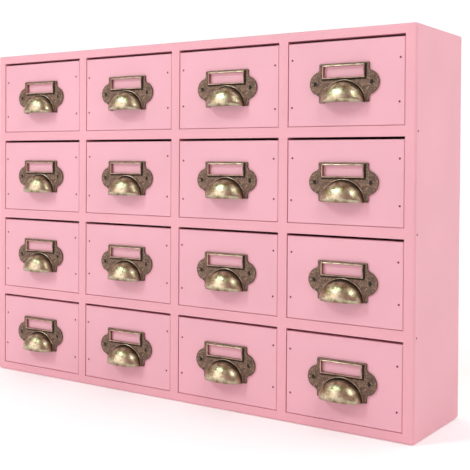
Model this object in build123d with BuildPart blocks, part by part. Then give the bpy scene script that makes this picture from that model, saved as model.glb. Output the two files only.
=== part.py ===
from build123d import *
import os
from math import cos, pi, radians, sin

# Tabletop thread cabinet: a painted carcass with a grid of small drawers, each with a cast cup pull
# that also holds a label. Millimetres, +Z up, front towards -Y. The origin is on the bottom face,
# in the middle of the carcass.

# Carcass
cabinet_width = 600.0
cabinet_height = 420.0
cabinet_depth = 125.0
columns = 4
rows = 4
side_thickness = 12.0
cap_thickness = 10.0  # top and bottom boards
shelf_thickness = 11.0
divider_thickness = 11.0
back_thickness = 5.0
back_lap = 6.0  # the back panel's hold in the rebates round it
housing_depth = 4.0  # shelves and dividers are let this far into the outer boards
housing_stop = 10.0  # and the housings end this far behind the front edge
edge_radius = 2.5

# Drawers
reveal = 0.3  # the fronts stand back from the carcass's front edges
side_gap = 0.6
top_gap = 2.8
bottom_gap = 0.3
back_gap = 0.5
front_thickness = 12.0
front_edge_chamfer = 0.8
tray_wall = 9.0
tray_height = 80.0
tray_bottom = 4.0
groove_depth = 3.0
groove_rise = 3.0  # from a wall's lower edge to the groove for the bottom

# Cast pull, in heights above and below the line of its two screws
screw_spacing = 65.0
pull_width = 80.0
ear_radius = 12.5
plate_thickness = 2.0
plate_top = 20.7
plate_bottom = 20.3
plate_width = 57.5  # between the ears
flare = 1.8  # cut across each corner between an ear and the plate's straight sides
plate_corner = 1.2
window_width = 46.5
window_height = 11.5
rim_width = 3.0
rim_rise = 1.8
card_thickness = 0.9
card_lap = 1.8  # the card's hold behind each side of the window
cup_radius = 24.5  # half its width at the plate
cup_rise = 22.0  # and its height there
cup_reach = 16.0
cup_fullness = 0.8  # 1 gives an elliptical section, and less a squarer one
cup_wall = 2.0
cup_bands = 4  # straight bands from the plate to the crown
crown_turn = 75.0  # degrees round the cup's section, from its foot to the flat crown
round_sides = 24  # flat sides to a full turn of the ears and cup, so that many castings stay light
bead_width = 1.4
bead_rise = 1.2
screw_hole_radius = 2.0
screw_hole_sides = 8

# Sizes that follow
front_y = -cabinet_depth / 2
back_y = cabinet_depth / 2
panel_y = back_y - back_thickness
inner_depth = cabinet_depth - back_thickness
inner_width = cabinet_width - 2 * side_thickness
inner_height = cabinet_height - 2 * cap_thickness
opening_width = (inner_width - (columns - 1) * divider_thickness) / columns
opening_height = (inner_height - (rows - 1) * shelf_thickness) / rows
column_pitch = opening_width + divider_thickness
row_pitch = opening_height + shelf_thickness
halving_y = front_y + inner_depth / 2
housing_length = inner_depth - housing_stop

front_width = opening_width - 2 * side_gap
front_height = opening_height - top_gap - bottom_gap
face_y = front_y + reveal
tray_y = face_y + front_thickness
tray_length = panel_y - back_gap - tray_y
panel_width = front_width - 2 * (tray_wall - groove_depth)

pull_z = bottom_gap + front_height / 2
plate_y = face_y - plate_thickness
window_z = plate_top - rim_width - window_height / 2

divider_xs = [(i - (columns - 2) / 2) * column_pitch for i in range(columns - 1)]
shelf_zs = [cap_thickness + (j + 1) * row_pitch - shelf_thickness / 2 for j in range(rows - 1)]


def side_board():
    """The right side board, between the caps, housed for the shelves and rebated for the back."""
    inner_x = cabinet_width / 2 - side_thickness
    with BuildPart() as board:
        with BuildSketch(Plane.XY.offset(cap_thickness)):
            with Locations((inner_x + side_thickness / 2, 0)):
                Rectangle(side_thickness, cabinet_depth)
        extrude(amount=inner_height)
        outer_edges = board.faces().sort_by(Axis.X)[-1].edges().filter_by(Axis.Z)
        fillet(outer_edges, edge_radius)
        housing_y = panel_y - housing_length / 2
        with Locations([(inner_x + housing_depth / 2, housing_y, z) for z in shelf_zs]):
            Box(housing_depth, housing_length, shelf_thickness, mode=Mode.SUBTRACT)
        with Locations((inner_x + back_lap / 2, back_y - back_thickness / 2, cabinet_height / 2)):
            Box(back_lap, back_thickness, inner_height, mode=Mode.SUBTRACT)
    return board.part


def cap_board():
    """The bottom board, right across under both sides, housed for the dividers."""
    with BuildPart() as board:
        with BuildSketch():
            Rectangle(cabinet_width, cabinet_depth)
        extrude(amount=cap_thickness)
        corners = board.edges().filter_by(Axis.Z)
        fillet(corners, edge_radius)
        fillet(board.faces().sort_by(Axis.Z)[0].edges(), edge_radius)
        housing_y = panel_y - housing_length / 2
        housing_z = cap_thickness - housing_depth / 2
        with Locations([(x, housing_y, housing_z) for x in divider_xs]):
            Box(divider_thickness, housing_length, housing_depth, mode=Mode.SUBTRACT)
        rebate_width = inner_width + 2 * back_lap
        with Locations((0, back_y - back_thickness / 2, cap_thickness - back_lap / 2)):
            Box(rebate_width, back_thickness, back_lap, mode=Mode.SUBTRACT)
    return board.part


def back_panel():
    """A thin panel in the rebates of the four outer boards."""
    with BuildPart() as panel:
        with BuildSketch(Plane.XZ.offset(-back_y)):
            with Locations((0, cabinet_height / 2)):
                Rectangle(inner_width + 2 * back_lap, inner_height + 2 * back_lap)
        extrude(amount=back_thickness)
    return panel.part


def shelf(z):
    """A shelf across the whole carcass, slotted from the back for the dividers."""
    length = inner_width + 2 * housing_depth
    with BuildPart() as board:
        with BuildSketch(Plane.XY.offset(z - shelf_thickness / 2)):
            with Locations((0, front_y + inner_depth / 2)):
                Rectangle(length, inner_depth)
            notch_x = length / 2 - housing_depth / 2
            with Locations([(side * notch_x, front_y + housing_stop / 2) for side in (-1, 1)]):
                Rectangle(housing_depth, housing_stop, mode=Mode.SUBTRACT)
            slot_length = panel_y - halving_y
            with Locations([(x, halving_y + slot_length / 2) for x in divider_xs]):
                Rectangle(divider_thickness, slot_length, mode=Mode.SUBTRACT)
        extrude(amount=shelf_thickness)
    return board.part


def divider(x):
    """An upright from cap to cap, slotted from the front for the shelves."""
    length = inner_height + 2 * housing_depth
    with BuildPart() as board:
        with BuildSketch(Plane.YZ.offset(x - divider_thickness / 2)):
            with Locations((front_y + inner_depth / 2, cabinet_height / 2)):
                Rectangle(inner_depth, length)
            notch_zs = [
                cabinet_height / 2 + side * (length - housing_depth) / 2 for side in (-1, 1)
            ]
            with Locations([(front_y + housing_stop / 2, z) for z in notch_zs]):
                Rectangle(housing_stop, housing_depth, mode=Mode.SUBTRACT)
            slot_length = halving_y - front_y
            with Locations([(front_y + slot_length / 2, z) for z in shelf_zs]):
                Rectangle(slot_length, shelf_thickness, mode=Mode.SUBTRACT)
        extrude(amount=divider_thickness)
    return board.part


def groove(length, width, x, y):
    """Cuts the slot that a tray's bottom lies in, from the piece being built."""
    with Locations((x, y, bottom_gap + groove_rise + tray_bottom / 2)):
        Box(width, length, tray_bottom, mode=Mode.SUBTRACT)


def drawer_front():
    """A front with softened face edges and a stopped groove behind for the tray's bottom."""
    with BuildPart() as front:
        with BuildSketch(Plane.XZ.offset(-tray_y)):
            with Locations((0, bottom_gap + front_height / 2)):
                Rectangle(front_width, front_height)
        extrude(amount=front_thickness)
        chamfer(front.faces().sort_by(Axis.Y)[0].edges(), front_edge_chamfer)
        groove(groove_depth, panel_width, 0, tray_y - groove_depth / 2)
    return front.part


def tray_side():
    """The right wall of a tray, grooved along its length."""
    wall_x = front_width / 2 - tray_wall / 2
    with BuildPart() as wall:
        with BuildSketch(Plane.XY.offset(bottom_gap)):
            with Locations((wall_x, tray_y + tray_length / 2)):
                Rectangle(tray_wall, tray_length)
        extrude(amount=tray_height)
        groove_x = front_width / 2 - tray_wall + groove_depth / 2
        groove(tray_length, groove_depth, groove_x, tray_y + tray_length / 2)
    return wall.part


def tray_back():
    """The back wall of a tray, between its sides."""
    wall_y = tray_y + tray_length - tray_wall / 2
    width = front_width - 2 * tray_wall
    with BuildPart() as wall:
        with BuildSketch(Plane.XY.offset(bottom_gap)):
            with Locations((0, wall_y)):
                Rectangle(width, tray_wall)
        extrude(amount=tray_height)
        groove_y = tray_y + tray_length - tray_wall + groove_depth / 2
        groove(groove_depth, width, 0, groove_y)
    return wall.part


def tray_panel():
    """A tray's bottom, held in the grooves on all four sides."""
    length = tray_length - tray_wall + 2 * groove_depth
    with BuildPart() as panel:
        with BuildSketch(Plane.XY.offset(bottom_gap + groove_rise)):
            with Locations((0, tray_y - groove_depth + length / 2)):
                Rectangle(panel_width, length)
        extrude(amount=tray_bottom)
    return panel.part


def half_ring(radius, y):
    """Corners of a flat-sided half oval that stands on the plate's lower edge."""
    half_turn = round_sides // 2
    turns = [pi * i / half_turn for i in range(half_turn + 1)]
    foot_z = pull_z - plate_bottom
    rise = radius * cup_rise / cup_radius
    return [(radius * cos(turn), y, foot_z + rise * sin(turn)) for turn in turns]


def half_disc(radius, low_y, high_y):
    """Corners of such a half oval between two depths."""
    return half_ring(radius, low_y) + half_ring(radius, high_y)


def half_dome(radius, reach):
    """Corners of half a dome on the plate, in bands up to a flat crown."""
    last_turn = radians(crown_turn)
    corners = []
    for i in range(cup_bands + 1):
        turn = last_turn * i / cup_bands
        height = reach * (sin(turn) / sin(last_turn)) ** cup_fullness
        corners += half_ring(radius * cos(turn) ** cup_fullness, plate_y - height)
    return corners


def cast_pull():
    """A plate with two ears, a label rim with its card pocket, and a half-dome cup, in one casting."""
    face = Plane(origin=(0, face_y, pull_z), x_dir=(1, 0, 0), z_dir=(0, -1, 0))
    plate_face = face.offset(plate_thickness)
    ear_x = pull_width / 2 - ear_radius
    with BuildPart() as pull:
        with BuildSketch(face) as outline:
            with Locations((0, (plate_top - plate_bottom) / 2)):
                Rectangle(plate_width, plate_top + plate_bottom)
            with Locations((-ear_x, 0), (ear_x, 0)):
                RegularPolygon(ear_radius, round_sides)
            levels = outline.vertices().group_by(Axis.Y)
            chamfer(levels[1] + levels[-2], flare)
            levels = outline.vertices().group_by(Axis.Y)
            chamfer(levels[0] + levels[-1], plate_corner)
            with Locations((-screw_spacing / 2, 0), (screw_spacing / 2, 0)):
                RegularPolygon(screw_hole_radius, screw_hole_sides, mode=Mode.SUBTRACT)
        extrude(amount=plate_thickness)
        with BuildSketch(plate_face):
            with Locations((0, window_z)):
                Rectangle(window_width + 2 * rim_width, window_height + 2 * rim_width)
        extrude(amount=rim_rise)
        ConvexPolyhedron(half_disc(cup_radius + bead_width, plate_y, plate_y - bead_rise))
        ConvexPolyhedron(half_dome(cup_radius, cup_reach))
        hollow_radius = cup_radius - cup_wall
        hollow_reach = cup_reach - cup_wall
        ConvexPolyhedron(half_disc(hollow_radius, face_y, plate_y), mode=Mode.SUBTRACT)
        ConvexPolyhedron(half_dome(hollow_radius, hollow_reach), mode=Mode.SUBTRACT)
        with BuildSketch(face):
            with Locations((0, window_z)):
                Rectangle(window_width, window_height)
        extrude(amount=plate_thickness + rim_rise, mode=Mode.SUBTRACT)
        with BuildSketch(face):
            pocket_bottom = window_z - window_height / 2 - card_lap
            pocket_height = plate_top - pocket_bottom
            with Locations((0, pocket_bottom + pocket_height / 2)):
                Rectangle(window_width + 2 * card_lap, pocket_height)
        extrude(amount=card_thickness, mode=Mode.SUBTRACT)
    return pull.part


def mirrored(piece):
    """The same piece on the other side of the middle plane."""
    with BuildPart() as other:
        mirror(piece, about=Plane.YZ)
    return other.part


def save(pieces, name):
    """Labels one node, of one or more solids, and writes it."""
    node = pieces[0] if len(pieces) == 1 else Compound(children=pieces)
    node.label = name
    export_step(node, f"parts/{name}.step")


def carcass():
    """The boards, shelves, dividers and back panel."""
    right = side_board()
    bottom = cap_board()
    with BuildPart() as top:
        mirror(bottom, about=Plane.XY.offset(cabinet_height / 2))
    save([right], "side_right")
    save([mirrored(right)], "side_left")
    save([bottom], "bottom_board")
    save([top.part], "top_board")
    save([back_panel()], "back_panel")
    for j, z in enumerate(shelf_zs):
        save([shelf(z)], f"shelf_{j + 1}")
    for i, x in enumerate(divider_xs):
        save([divider(x)], f"divider_{i + 1}")


def drawers():
    """One front, tray and pull in every cell; rows count from the top, columns from the left."""
    side = tray_side()
    groups = {
        "drawer_front": [drawer_front()],
        "drawer_tray": [side, mirrored(side), tray_back(), tray_panel()],
        "pull": [cast_pull()],
    }
    for row in range(rows):
        for column in range(columns):
            x = (column - (columns - 1) / 2) * column_pitch
            z = cap_thickness + (rows - 1 - row) * row_pitch
            for name, pieces in groups.items():
                placed = [piece.moved(Location((x, 0, z))) for piece in pieces]
                save(placed, f"{name}_r{row + 1}c{column + 1}")


os.makedirs("parts", exist_ok=True)
carcass()
drawers()
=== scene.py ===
import math
import random

import bmesh
import bpy
from mathutils import Matrix, Vector


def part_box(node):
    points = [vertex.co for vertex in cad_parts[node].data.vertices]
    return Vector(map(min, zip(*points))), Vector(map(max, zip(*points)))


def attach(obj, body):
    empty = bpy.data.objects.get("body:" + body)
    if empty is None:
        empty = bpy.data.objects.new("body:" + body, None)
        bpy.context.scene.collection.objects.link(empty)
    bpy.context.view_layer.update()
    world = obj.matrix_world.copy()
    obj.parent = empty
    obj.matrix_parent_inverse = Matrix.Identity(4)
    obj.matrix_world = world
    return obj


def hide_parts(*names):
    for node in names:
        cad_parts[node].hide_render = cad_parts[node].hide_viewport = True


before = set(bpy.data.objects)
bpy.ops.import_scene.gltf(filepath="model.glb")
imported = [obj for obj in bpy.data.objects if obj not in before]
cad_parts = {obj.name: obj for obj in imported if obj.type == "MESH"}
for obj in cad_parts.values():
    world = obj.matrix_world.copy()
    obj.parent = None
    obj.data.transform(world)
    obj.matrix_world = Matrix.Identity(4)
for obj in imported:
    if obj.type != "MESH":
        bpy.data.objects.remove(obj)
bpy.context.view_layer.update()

MM = 0.001
ROWS = 4
COLUMNS = 4
CELLS = [f"r{row}c{column}" for row in range(1, ROWS + 1) for column in range(1, COLUMNS + 1)]


# ---------------------------------------------------------------- shader helpers

# The sockets of a Mix node that mix colours; it also has some for numbers and vectors.
MIX_FACTOR, MIX_FIRST, MIX_SECOND = 0, 6, 7
MIX_RESULT = 2


class Shader:
    """A Principled material whose nodes are made and joined by short calls."""

    def __init__(self, name):
        self.material = bpy.data.materials.new(name)
        self.material.use_nodes = True
        self.tree = self.material.node_tree
        self.surface = self.tree.nodes["Principled BSDF"]

    def set(self, **values):
        """Sets sockets of the surface; Base_Color is written as Base Color, and so on."""
        for key, value in values.items():
            self.surface.inputs[key.replace("_", " ")].default_value = value

    def add(self, kind, sockets=None, **settings):
        node = self.tree.nodes.new(kind)
        for key, value in settings.items():
            setattr(node, key, value)
        for key, value in (sockets or {}).items():
            node.inputs[key].default_value = value
        return node

    def feed(self, value, socket):
        """Links a socket, or sets a number or colour."""
        if isinstance(value, bpy.types.NodeSocket):
            self.tree.links.new(value, socket)
        elif isinstance(value, tuple):
            socket.default_value = (*value, 1)
        else:
            socket.default_value = value

    def place(self, scale=(1, 1, 1)):
        """Coordinates in metres on the object, stretched by scale."""
        coordinates = self.add("ShaderNodeTexCoord")
        mapping = self.add("ShaderNodeMapping", {"Scale": scale})
        self.feed(coordinates.outputs["Object"], mapping.inputs["Vector"])
        return mapping.outputs["Vector"]

    def noise(self, vector, scale, detail=3.0, roughness=0.5):
        node = self.add(
            "ShaderNodeTexNoise", {"Scale": scale, "Detail": detail, "Roughness": roughness}
        )
        self.feed(vector, node.inputs["Vector"])
        return node.outputs["Fac"]

    def ramp(self, value, stops):
        """A colour ramp from (position, colour) stops."""
        node = self.add("ShaderNodeValToRGB")
        elements = node.color_ramp.elements
        while len(elements) < len(stops):
            elements.new(0.5)
        for element, (position, color) in zip(elements, stops):
            element.position = position
            element.color = (*color, 1)
        self.feed(value, node.inputs["Fac"])
        return node.outputs["Color"]

    def span(self, value, low, high, start=0.0, end=1.0):
        """Maps start..end to low..high, clamped outside it."""
        node = self.add(
            "ShaderNodeMapRange",
            {"From Min": start, "From Max": end, "To Min": low, "To Max": high},
        )
        self.feed(value, node.inputs["Value"])
        return node.outputs["Result"]

    def mix(self, factor, first, second):
        node = self.add("ShaderNodeMix", data_type="RGBA")
        self.feed(factor, node.inputs[MIX_FACTOR])
        self.feed(first, node.inputs[MIX_FIRST])
        self.feed(second, node.inputs[MIX_SECOND])
        return node.outputs[MIX_RESULT]

    def math(self, operation, first, second):
        node = self.add("ShaderNodeMath", operation=operation)
        self.feed(first, node.inputs[0])
        self.feed(second, node.inputs[1])
        return node.outputs[0]

    def bump(self, height, strength, distance):
        node = self.add("ShaderNodeBump", {"Strength": strength, "Distance": distance})
        self.feed(height, node.inputs["Height"])
        self.feed(node.outputs["Normal"], self.surface.inputs["Normal"])

    def color(self, source):
        self.feed(source, self.surface.inputs["Base Color"])

    def rough(self, source):
        self.feed(source, self.surface.inputs["Roughness"])


def linear(red, green, blue):
    """A display colour of 0 to 255 as linear light, by the sRGB curve."""
    def channel(value):
        value /= 255
        return value / 12.92 if value <= 0.04045 else ((value + 0.055) / 1.055) ** 2.4
    return tuple(channel(value) for value in (red, green, blue))


# ---------------------------------------------------------------- materials

def paint(name, base, grain):
    """Satin paint over sanded wood: brush marks along the grain and a faint cloudiness."""
    s = Shader(name)
    cloud = s.noise(s.place(), scale=9.0)
    light = tuple(min(1.0, c * 1.03) for c in base)
    dark = tuple(c * 0.96 for c in base)
    s.color(s.ramp(cloud, [(0.3, dark), (0.7, light)]))
    strokes = s.noise(s.place(grain), scale=60.0, detail=4.0, roughness=0.6)
    dimples = s.noise(s.place(), scale=900.0, detail=2.0)
    s.rough(s.span(strokes, low=0.42, high=0.56, start=0.3, end=0.7))
    relief = s.math("ADD", strokes, s.math("MULTIPLY", dimples, 0.35))
    s.bump(relief, strength=0.22, distance=0.4 * MM)
    s.set(Specular_IOR_Level=0.45)
    return s.material


def plywood(name):
    """Bare pale plywood with long grain streaks and darker pores."""
    s = Shader(name)
    streaks = s.noise(s.place((4, 70, 70)), scale=3.0, detail=6.0, roughness=0.65)
    rings = s.noise(s.place((1.5, 9, 9)), scale=7.0, detail=4.0, roughness=0.55)
    bands = [(0.3, linear(205, 170, 125)), (0.55, linear(224, 194, 150)), (0.75, linear(213, 180, 136))]
    pores = s.span(streaks, low=0.0, high=0.45, start=0.45, end=0.75)
    s.color(s.mix(pores, s.ramp(rings, bands), linear(176, 138, 96)))
    s.rough(s.span(streaks, low=0.6, high=0.78, start=0.3, end=0.7))
    s.bump(streaks, strength=0.25, distance=0.5 * MM)
    return s.material


def bronze(name, low, high, fleck):
    """Dull antique bronze: dark and blotched, with fine flecks in the casting's skin."""
    s = Shader(name)
    speckle = s.noise(s.place(), scale=640.0, detail=3.0, roughness=0.75)
    blotch = s.noise(s.place(), scale=150.0, detail=4.0, roughness=0.6)
    tone = s.ramp(blotch, [(0.32, low), (0.68, high)])
    s.color(s.mix(s.span(speckle, low=0.0, high=0.9, start=0.49, end=0.66), tone, fleck))
    s.rough(s.span(blotch, low=0.42, high=0.6, start=0.3, end=0.7))
    s.bump(speckle, strength=0.5, distance=0.4 * MM)
    s.set(Metallic=0.7)
    return s.material


# At the cup's foot the patina's colour is laid on as painted shade, at this share, and fades out between
# these heights from the screws.
FOOT_SHADE_SHARE = 0.6
FOOT_LOW = -20.0 * MM
FOOT_HIGH = -14.0 * MM


def rubbed_brass(name, light, dark, roughness, recess):
    """Brass with its patina rubbed off, except near the drawer's face, and with the patina's colour
    painted on at the cup's foot as shade.

    Near the face the patina fades out between the two distances of recess. The rubbed brass is
    clouded from dark to light, and shinier where it is light.
    """
    s = Shader(name)
    cloud = s.noise(s.place(), scale=105.0, detail=5.0, roughness=0.62)
    fine = s.noise(s.place(), scale=700.0, detail=3.0, roughness=0.6)
    rubbing = s.math("ADD", s.math("MULTIPLY", cloud, 0.75), s.math("MULTIPLY", fine, 0.25))
    axes = s.add("ShaderNodeSeparateXYZ")
    s.feed(s.place(), axes.inputs["Vector"])
    face = s.span(axes.outputs["Y"], low=0.0, high=1.0, start=-recess[1], end=-recess[0])
    # Painted shade: the cup is darkened towards its foot, in the patina's colour.
    foot_shade = s.span(axes.outputs["Z"], low=FOOT_SHADE_SHARE, high=0.0, start=FOOT_LOW, end=FOOT_HIGH)
    broken = s.span(fine, low=0.75, high=1.0, start=0.3, end=0.7)
    patina_and_shade = s.math("MULTIPLY", s.math("MAXIMUM", face, foot_shade), broken)
    s.color(s.mix(patina_and_shade, s.ramp(rubbing, [(0.38, dark), (0.54, light)]), linear(98, 76, 60)))
    s.rough(s.span(rubbing, low=roughness + 0.16, high=roughness, start=0.38, end=0.58))
    s.bump(fine, strength=0.10, distance=0.2 * MM)
    s.set(Metallic=1.0)
    return s.material


def plain(name, base, roughness):
    """One colour, broken up by fine noise, for small spots."""
    s = Shader(name)
    grain = s.noise(s.place(), scale=900.0, detail=2.0)
    s.color(s.ramp(grain, [(0.3, tuple(c * 0.8 for c in base)), (0.7, base)]))
    s.set(Roughness=roughness)
    return s.material


def studio_floor(name):
    """Matt white, glowing more and more behind the cabinet, so that its far edge can't be seen."""
    s = Shader(name)
    axes = s.add("ShaderNodeSeparateXYZ")
    s.feed(s.place(), axes.inputs["Vector"])
    glow = s.span(axes.outputs["Y"], low=0.15, high=0.7, start=0.3, end=1.5)
    s.feed(glow, s.surface.inputs["Emission Strength"])
    whites = [(0.3, linear(250, 250, 250)), (0.7, linear(253, 253, 253))]
    s.color(s.ramp(s.noise(s.place(), scale=6.0), whites))
    s.set(Emission_Color=(1, 1, 1, 1), Roughness=0.8)
    return s.material


FRAME_PINK = linear(230, 168, 179)
FRONT_PINK = linear(230, 172, 184)
GRAIN_ACROSS = (3, 40, 40)   # the noise is drawn out along the axis with the small number
GRAIN_UPRIGHT = (40, 40, 3)
frame_paint_across = paint("frame_paint_across", FRAME_PINK, GRAIN_ACROSS)
frame_paint_upright = paint("frame_paint_upright", FRAME_PINK, GRAIN_UPRIGHT)
front_paint = paint("front_paint", FRONT_PINK, GRAIN_ACROSS)
bare_plywood = plywood("bare_plywood")
plate_metal = bronze("plate_metal", linear(78, 61, 54), linear(116, 93, 81), linear(172, 146, 118))
# A darker copy of the plate's bronze: painted shade on the rim's slope where it faces down and to the
# right.
painted_shade_metal = bronze("painted_shade_metal", linear(28, 20, 17), linear(50, 38, 32), linear(84, 66, 52))
cup_metal = rubbed_brass(
    "cup_metal", linear(212, 203, 172), linear(128, 110, 70), roughness=0.28, recess=(3 * MM, 10 * MM)
)
edge_metal = rubbed_brass(
    "edge_metal", linear(190, 164, 144), linear(128, 104, 88), roughness=0.30, recess=(0, 2.2 * MM)
)
# Near black: painted shade in the screws' hollows and in the groove beside the bead.
painted_shade_black = plain("painted_shade_black", linear(22, 16, 12), 0.7)
# A dark maroon for the marks at the nail heads.
nail_mark_maroon = plain("nail_mark_maroon", linear(112, 38, 56), 0.6)
nail_steel = plain("nail_steel", linear(112, 106, 100), 0.45)


# ---------------------------------------------------------------- mesh helpers

# Stands a drawing up, so that its third axis points out of the cabinet's front.
TO_FRONT = Matrix(((1, 0, 0, 0), (0, 0, -1, 0), (0, 1, 0, 0), (0, 0, 0, 1)))


MERGE = 1e-6                       # points of a skin closer than this become one
SHARP_ANGLE = math.radians(40)     # edges that turn more than this stay sharp in the shading


def arc(centre, radius, start, end, steps, squash=1.0):
    """Points of an arc, its height times squash; angles in degrees."""
    angles = [math.radians(start + (end - start) * i / steps) for i in range(steps + 1)]
    return [
        (centre[0] + radius * math.cos(a), centre[1] + squash * radius * math.sin(a)) for a in angles
    ]


def rectangle(width, height, centre_y, radius, steps=4):
    """A rectangle with round corners, in the middle of the width."""
    x, y = width / 2 - radius, height / 2 - radius
    corners = ((x, y, 0), (-x, y, 90), (-x, -y, 180), (x, -y, 270))
    points = []
    for corner_x, corner_y, start in corners:
        points += arc((corner_x, centre_y + corner_y), radius, start, start + 90, steps)
    return points


def slab(outlines, low, high, bevel):
    """A flat plate between two heights from closed outlines, the later ones holes, its edges rounded."""
    curve = bpy.data.curves.new("slab", "CURVE")
    curve.dimensions = "2D"
    curve.fill_mode = "BOTH"
    curve.extrude = (high - low) / 2 - bevel
    curve.bevel_depth = bevel
    curve.bevel_resolution = 2
    curve.offset = -bevel
    for outline in outlines:
        spline = curve.splines.new("POLY")
        spline.points.add(len(outline) - 1)
        for point, (x, y) in zip(spline.points, outline):
            point.co = (x, y, 0, 1)
        spline.use_cyclic_u = True
    holder = bpy.data.objects.new("slab", curve)
    mesh = bpy.data.meshes.new_from_object(holder)
    bpy.data.objects.remove(holder)
    bpy.data.curves.remove(curve)
    mesh.transform(Matrix.Translation((0, 0, (low + high) / 2)))
    return mesh


def bridged(rings, closed):
    """A skin over rings of equally many points, each ring closed or open."""
    count = len(rings[0])
    faces = []
    for i in range(len(rings) - 1):
        for j in range(count if closed else count - 1):
            after = (j + 1) % count
            here, there = i * count, (i + 1) * count
            faces.append((here + j, here + after, there + after, there + j))
    mesh = bpy.data.meshes.new("bridged")
    mesh.from_pydata([point for ring in rings for point in ring], [], faces)
    work = bmesh.new()
    work.from_mesh(mesh)
    bmesh.ops.remove_doubles(work, verts=work.verts, dist=MERGE)
    bmesh.ops.recalc_face_normals(work, faces=work.faces)
    work.to_mesh(mesh)
    work.free()
    return mesh


def lathe(profile, start, end, steps, centre, squash=1.0):
    """Turns a profile of (radius, height) points about the out-pointing axis."""
    rings = [
        [(*point, height) for point in arc(centre, radius, start, end, steps, squash)]
        for radius, height in profile
    ]
    return bridged(rings, closed=False)


def joined(name, parts):
    """One mesh from (mesh, material) parts, turned to face the front."""
    work = bmesh.new()
    materials = []
    for mesh, material in parts:
        if material not in materials:
            materials.append(material)
        first = len(work.faces)
        work.from_mesh(mesh)
        work.faces.ensure_lookup_table()
        for face in work.faces[first:]:
            face.material_index = materials.index(material)
            face.smooth = True
        bpy.data.meshes.remove(mesh)
    bmesh.ops.transform(work, matrix=TO_FRONT, verts=work.verts)
    result = bpy.data.meshes.new(name)
    work.to_mesh(result)
    work.free()
    for material in materials:
        result.materials.append(material)
    result.set_sharp_from_angle(angle=SHARP_ANGLE)
    return result


def piece(name, mesh, location, body):
    """Places a mesh as a piece that rides on a body."""
    thing = bpy.data.objects.new(name, mesh)
    bpy.context.scene.collection.objects.link(thing)
    thing.location = location
    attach(thing, body)
    return thing


# ---------------------------------------------------------------- the cast pull

# Sizes of the casting, measured from the line of its two screws and from the drawer's face.
PLATE = 2.0 * MM          # its thickness
PLATE_TOP = 20.7 * MM
PLATE_BOTTOM = 20.3 * MM
PLATE_HALF = 28.75 * MM   # half its width between the ears
PLATE_CORNER = 1.2 * MM
PLATE_BEVEL = 0.45 * MM
EAR_RADIUS = 12.5 * MM
PULL_HALF = 40.0 * MM
FLARE = 3.6 * MM          # the hollow corner between an ear and the plate's straight side
SCREW_X = 32.5 * MM
SCREW_HOLE = 2.6 * MM
SCREW_SIDES = 24
WINDOW = (46.5 * MM, 11.5 * MM)
WINDOW_CORNER = 0.4 * MM
RIM = 3.0 * MM
RIM_RISE = 1.8 * MM
RIM_ROUNDING = 0.4        # a ring's corner radius grows by this share of its distance
LIP = 1.2 * MM            # the width of the raised lip next to the window
LIP_START = 0.4           # the share of the plate's thickness where its inner side starts
LIP_EDGE = 0.3 * MM       # how far its two edges are cut off
LIP_FALL = 0.25 * MM      # how far its outer edge lies below its top
SLOPE_START = 1.7 * MM    # the rim slopes from here, away from the window
SLOPE_RISE = 0.8 * MM     # and from this height above the plate
SLOPE_FOOT = 0.5 * MM     # to its outermost part, which is this wide
FOOT_RISE = 0.6 * MM      # and starts this high
RIM_EDGE = 0.3 * MM       # the height of the rim's outer edge above the plate
RIM_SUNK = 0.5 * MM       # and how far its side goes down into the plate
CUP_RADIUS = 24.3 * MM
CUP_SQUASH = 0.885        # the cup's height at the plate over its half width
CUP_REACH = 16.0 * MM
CUP_FULLNESS = 0.8        # the section's corner is squarer than an ellipse's
CUP_WALL = 2.0 * MM
CURL = 0.12               # the share of its reach that the cup's lower edge is drawn in
CURL_HEIGHT = 4.0 * MM
CUP_STEPS = 64
SECTION_STEPS = 24
BEAD_RADIUS = 24.9 * MM
BEAD_HALF = 0.75 * MM
BEAD_RISE = 0.95 * MM
BEAD_SQUASH = 0.945       # its height at the plate over its half width
BEAD_STEPS = 8
GROOVE_LIFT = 0.06 * MM   # a near-black ring of painted shade in the groove beside the bead lies this far above the plate
GROOVE_LAP = 2.2 * MM     # and reaches this far inside the cup's skin

# Round parts of a screw in mm: (radius, height above the plate).
SCREW_RING = ((3.1, 0), (2.9, 0.3), (2.5, 0.25), (2.35, -0.35))
SCREW_HEAD = ((2.35, -0.35), (2.1, 0.1), (1.9, 0.3), (1.75, -0.1))
SCREW_RECESS = ((1.85, 0.1), (0, -0.6))

centre = (0, -PLATE_BOTTOM)
window_y = PLATE_TOP - RIM - WINDOW[1] / 2


def pull_outline():
    """The right half from the bottom up, then its mirror image: plate, flare, ear, flare, plate."""
    ear_x = PULL_HALF - EAR_RADIUS
    flare_x = PLATE_HALF + FLARE
    flare_y = math.sqrt((EAR_RADIUS + FLARE) ** 2 - (flare_x - ear_x) ** 2)
    meet = math.degrees(math.atan2(flare_y, flare_x - ear_x))
    corner = PLATE_CORNER
    right = arc((PLATE_HALF - corner, corner - PLATE_BOTTOM), corner, -90, 0, 4)
    right += arc((flare_x, -flare_y), FLARE, 180, 180 - meet, 8)
    right += arc((ear_x, 0), EAR_RADIUS, -meet, meet, 28)[1:-1]
    right += arc((flare_x, flare_y), FLARE, 180 + meet, 180, 8)
    right += arc((PLATE_HALF - corner, PLATE_TOP - corner), corner, 0, 90, 4)
    return right + [(-x, y) for x, y in reversed(right)]


def cup_notch(outline):
    """The outline with the half oval under the cup cut out of its lower edge."""
    return outline + arc(centre, CUP_RADIUS - CUP_WALL, 180, 0, 40, CUP_SQUASH)


def cup_section(radius, reach):
    """A quarter of the cup's section, from the plate to the crown."""
    turns = [math.pi / 2 * i / SECTION_STEPS for i in range(SECTION_STEPS + 1)]
    return [
        (radius * max(0.0, math.cos(t)) ** CUP_FULLNESS, PLATE + reach * math.sin(t) ** CUP_FULLNESS)
        for t in turns
    ]


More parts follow.
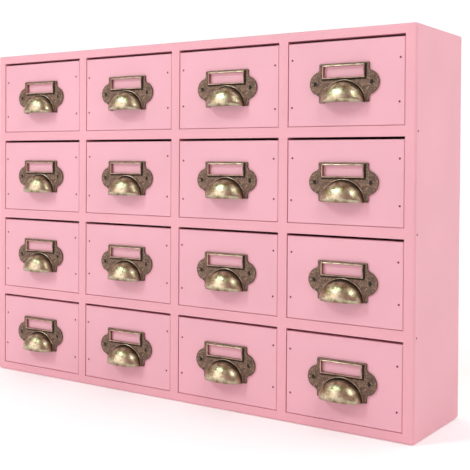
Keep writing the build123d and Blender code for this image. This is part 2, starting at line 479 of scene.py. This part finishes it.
def cup_lip(outer, inner):
    """The cup's lower edge: the flat section between its skin and its inside."""
    rings = []
    for line in (outer, inner):
        half = [(radius, centre[1], height) for radius, height in line]
        rings.append(half + [(-x, y, z) for x, y, z in reversed(half[:-1])])
    return bridged(rings, closed=False)


def rim_rings(levels):
    """Rings round the window at (distance from it, height), each a list of points."""
    rings = []
    for distance, height in levels:
        width, tall = (size + 2 * distance for size in WINDOW)
        ring = rectangle(width, tall, window_y, WINDOW_CORNER + RIM_ROUNDING * distance)
        rings.append([(x, y, height) for x, y in ring])
    return rings


def curled(mesh):
    """Draws the cup's lower edge in, so that its skin curls under."""
    for vertex in mesh.vertices:
        above = min(1.0, (vertex.co.y + PLATE_BOTTOM) / CURL_HEIGHT)
        vertex.co.z = PLATE + (vertex.co.z - PLATE) * (1 - CURL * (1 - above) ** 2)
    return mesh


def screw(x):
    """A raised ring in the plate, the round head in it and the head's hollow, painted near black as
    shade.
    """
    parts = []
    for shape, metal in (
        (SCREW_RING, plate_metal), (SCREW_HEAD, edge_metal), (SCREW_RECESS, painted_shade_black)
    ):
        profile = [(radius * MM, PLATE + height * MM) for radius, height in shape]
        parts.append((lathe(profile, 0, 360, SCREW_SIDES, (x, 0)), metal))
    return parts


def make_pull():
    """The whole casting with its screws, in one mesh with a slot for each metal."""
    last = 360 - 360 / SCREW_SIDES
    holes = [arc((side * SCREW_X, 0), SCREW_HOLE, 0, last, SCREW_SIDES - 1) for side in (-1, 1)]
    window = rectangle(*WINDOW, window_y, WINDOW_CORNER)
    plate = slab([cup_notch(pull_outline()), window, *holes], 0, PLATE, PLATE_BEVEL)
    top = PLATE + RIM_RISE
    lip = bridged(rim_rings([
        (0, PLATE * LIP_START), (0, top - LIP_EDGE), (LIP_EDGE, top), (LIP - LIP_EDGE, top),
        (LIP, top - LIP_FALL),
    ]), closed=True)
    slope = rim_rings([
        (LIP, top - LIP_FALL), (SLOPE_START, PLATE + SLOPE_RISE), (RIM - SLOPE_FOOT, PLATE + FOOT_RISE),
        (RIM, PLATE + RIM_EDGE), (RIM, PLATE - RIM_SUNK),
    ])
    # A ring starts at the upper right corner and goes over the top. From the middle of that corner
    # to the middle of the lower left one it has the plate's metal, and below and to the right a
    # darker copy of it, painted shade where the slope faces down and to the right.
    turn_out, turn_back = 2, 12
    light = bridged([ring[turn_out:turn_back + 1] for ring in slope], closed=False)
    dark = bridged([ring[turn_back:] + ring[:turn_out + 1] for ring in slope], closed=False)
    outer = cup_section(CUP_RADIUS, CUP_REACH)
    inner = cup_section(CUP_RADIUS - CUP_WALL, CUP_REACH - CUP_WALL)
    dome = curled(lathe(outer, 0, 180, CUP_STEPS, centre, CUP_SQUASH))
    hollow = curled(lathe(inner, 0, 180, CUP_STEPS, centre, CUP_SQUASH))
    cup_edge = curled(cup_lip(outer, inner))
    turns = [math.pi * i / BEAD_STEPS for i in range(BEAD_STEPS + 1)]
    bead_profile = [
        (BEAD_RADIUS + BEAD_HALF * math.cos(t), PLATE + BEAD_RISE * math.sin(t)) for t in turns
    ]
    bead = lathe(bead_profile, 0, 180, CUP_STEPS, centre, BEAD_SQUASH)
    # The groove is drawn as a flat near-black ring: painted shade.
    groove_height = PLATE + GROOVE_LIFT
    groove_profile = [(BEAD_RADIUS, groove_height), (CUP_RADIUS - GROOVE_LAP, groove_height)]
    groove_shade = lathe(groove_profile, 0, 180, CUP_STEPS, centre, BEAD_SQUASH)
    parts = [
        (plate, plate_metal), (light, plate_metal), (dark, painted_shade_metal), (lip, edge_metal),
        (dome, cup_metal), (hollow, plate_metal), (cup_edge, edge_metal), (bead, edge_metal),
        (groove_shade, painted_shade_black),
    ]
    for side in (-1, 1):
        parts += screw(side * SCREW_X)
    return joined("cast_pull", parts)


pull_mesh = make_pull()


# ---------------------------------------------------------------- carcass and drawers

UPRIGHT = ("side_left", "side_right", "divider_1", "divider_2", "divider_3")
for name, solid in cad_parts.items():
    if name.startswith("drawer_front"):
        material = front_paint
    elif name.startswith("drawer_tray") or name == "back_panel":
        material = bare_plywood
    elif name in UPRIGHT:
        material = frame_paint_upright
    else:
        material = frame_paint_across
    solid.data.materials.clear()
    solid.data.materials.append(material)

for cell in CELLS:
    front_low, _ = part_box(f"drawer_front_{cell}")
    pull_low, pull_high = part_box(f"pull_{cell}")
    place = ((pull_low.x + pull_high.x) / 2, front_low.y, pull_low.z + PLATE_BOTTOM)
    pull = piece(f"cast_pull_{cell}", pull_mesh, place, f"drawer_{cell}")
    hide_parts(f"pull_{cell}")


# ---------------------------------------------------------------- nail heads

NAIL_RADIUS = 1.1 * MM
NAIL_RISE = 0.12 * MM
NAIL_SKIRT = 1.25              # the foot of its skirt in the wood, as a share of its radius
NAIL_SUNK = 0.2 * MM
NAIL_RING = 0.7                # the edge of its sunk middle, as a share of its radius
NAIL_MIDDLE = 0.02 * MM        # and the height of the middle
NAIL_SIDES = 12
FRONT_INSET = 5.2 * MM         # nails on a front: from its sides
FRONT_LOW = 23 * MM            # up from its lower edge
FRONT_HIGH = 20 * MM           # and down from its upper edge
FRONT_STRAY = (0.8 * MM, 3.5 * MM)   # how far such a nail may be off, across and up
SIDE_INSET = 5 * MM            # nails on the side boards: back from their front edges
SIDE_STRAY = (0.6 * MM, 1.0 * MM)
PIN_INSET = 3.5 * MM           # pins: in from the back panel's edges
PINS_ACROSS = 8                # spaces between them along its width
PINS_UP = 6                    # and along its height
STRAY_ALONG = 2 * MM           # how far a pin may stray along its row
STRAY_OFF = 0.6 * MM           # and across it
random.seed(7)


def nail_mesh(name, spots, material):
    """Nail heads: low discs with a sunk middle, their skirts in the wood, joined in one mesh."""
    profile = [
        (NAIL_RADIUS * NAIL_SKIRT, -NAIL_SUNK), (NAIL_RADIUS, NAIL_RISE),
        (NAIL_RADIUS * NAIL_RING, NAIL_RISE), (0, NAIL_MIDDLE),
    ]
    return joined(name, [(lathe(profile, 0, 360, NAIL_SIDES, spot), material) for spot in spots])


def scattered(x, y, reach_x, reach_y):
    """A spot near x and y, off by up to the reaches."""
    return x + random.uniform(-reach_x, reach_x), y + random.uniform(-reach_y, reach_y)


for cell in CELLS:
    low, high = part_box(f"drawer_front_{cell}")
    spots = [
        scattered(x, z, *FRONT_STRAY)
        for x in (low.x + FRONT_INSET, high.x - FRONT_INSET)
        for z in (low.z + FRONT_LOW, high.z - FRONT_HIGH)
    ]
    heads = nail_mesh(f"nails_{cell}", spots, nail_mark_maroon)
    piece(f"nails_{cell}", heads, (0, low.y, 0), f"drawer_{cell}")

shelf_levels = []
for j in range(1, ROWS):
    low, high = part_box(f"shelf_{j}")
    shelf_levels.append((low.z + high.z) / 2)
for side, node, turn in ((1, "side_right", 90), (-1, "side_left", -90)):
    low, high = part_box(node)
    spots = [scattered(side * (low.y + SIDE_INSET), z, *SIDE_STRAY) for z in shelf_levels]
    heads = nail_mesh(f"nails_{node}", spots, nail_mark_maroon)
    face_x = high.x if side > 0 else low.x
    nails = piece(f"nails_{node}", heads, (face_x, 0, 0), "carcass")
    nails.rotation_euler.z = math.radians(turn)

# The back panel is pinned all round.
low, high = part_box("back_panel")
right, bottom, top = high.x - PIN_INSET, low.z + PIN_INSET, high.z - PIN_INSET
half = PINS_ACROSS // 2
spots = [
    scattered(right * i / half, z, STRAY_ALONG, STRAY_OFF)
    for i in range(-half, half + 1) for z in (bottom, top)
]
spots += [
    scattered(x, bottom + (top - bottom) * i / PINS_UP, STRAY_OFF, STRAY_ALONG)
    for i in range(1, PINS_UP) for x in (-right, right)
]
heads = nail_mesh("pins_back", spots, nail_steel)
pins = piece("pins_back", heads, (0, high.y, 0), "carcass")
pins.rotation_euler.z = math.radians(180)


# ---------------------------------------------------------------- floor, light and camera

def area_light(name, location, target, size, watts, color):
    """A rectangular lamp that faces its target and isn't seen by the camera."""
    data = bpy.data.lights.new(name, "AREA")
    data.shape = "RECTANGLE"
    data.size, data.size_y = size
    data.energy = watts
    data.color = color
    light = bpy.data.objects.new(name, data)
    bpy.context.scene.collection.objects.link(light)
    light.location = location
    light.visible_camera = False
    light.rotation_euler = (Vector(target) - Vector(location)).to_track_quat("-Z", "Y").to_euler()


FLOOR = 6.0              # half its width
FLOOR_DROP = 0.5 * MM    # so that the floor and the bottom board don't share a plane
floor_mesh = bpy.data.meshes.new("floor")
floor_mesh.from_pydata(
    [(-FLOOR, -FLOOR, 0), (FLOOR, -FLOOR, 0), (FLOOR, FLOOR, 0), (-FLOOR, FLOOR, 0)], [], [(0, 1, 2, 3)]
)
floor = bpy.data.objects.new("floor", floor_mesh)
bpy.context.scene.collection.objects.link(floor)
floor.location.z = -FLOOR_DROP
floor_mesh.materials.append(studio_floor("floor_white"))

# The world is white behind the cabinet and falls to a dim, warm red in front of it.
BACKDROP_STOPS = ((0.05, (0.30, 0.09, 0.12, 1)), (0.40, (1, 1, 1, 1)))
BACKDROP_SHIFT = 0.3     # added to the direction's Y: white from Y = 0.1 up, dimmest from -0.25 down
BACKDROP_STRENGTH = 1.04
world = bpy.data.worlds.new("studio")
bpy.context.scene.world = world
world.use_nodes = True
sky = world.node_tree
direction = sky.nodes.new("ShaderNodeTexCoord")
split = sky.nodes.new("ShaderNodeSeparateXYZ")
backdrop = sky.nodes.new("ShaderNodeValToRGB")
for stop, (position, color) in zip(backdrop.color_ramp.elements, BACKDROP_STOPS):
    stop.position = position
    stop.color = color
sky.links.new(direction.outputs["Generated"], split.inputs["Vector"])
forward = sky.nodes.new("ShaderNodeMath")
forward.operation = "ADD"
forward.inputs[1].default_value = BACKDROP_SHIFT
sky.links.new(split.outputs["Y"], forward.inputs[0])
sky.links.new(forward.outputs[0], backdrop.inputs["Fac"])
sky.links.new(backdrop.outputs["Color"], sky.nodes["Background"].inputs["Color"])
sky.nodes["Background"].inputs["Strength"].default_value = BACKDROP_STRENGTH

area_light(
    "key", (-1.59, -2.35, 2.42), target=(0, 0, 0.2), size=(0.8, 0.8), watts=50, color=(0.68, 0.97, 0.91)
)
area_light(
    "softbox", (-1.08, -1.60, 0.45), target=(0, 0, 0.2), size=(1.3, 1.3), watts=9.0, color=(1, 0.93, 0.95)
)
area_light(
    "side", (1.35, -1.0, 1.65), target=(0.1, 0, 0.2), size=(0.9, 0.9), watts=14, color=(0.86, 1.0, 0.97)
)
bpy.context.scene.view_settings.view_transform = "Standard"

# The camera was fitted to the photo's straight lines.
camera_data = bpy.data.cameras.new("camera")
camera_data.sensor_width = 36.0
camera_data.lens = 70.2
camera_data.shift_y = -0.1259
camera = bpy.data.objects.new("camera", camera_data)
bpy.context.scene.collection.objects.link(camera)
camera.location = (0.6565, -0.9132, 0.2811)
camera.rotation_euler = tuple(math.radians(a) for a in (89.107, -0.354, 33.918))
bpy.context.scene.camera = camera
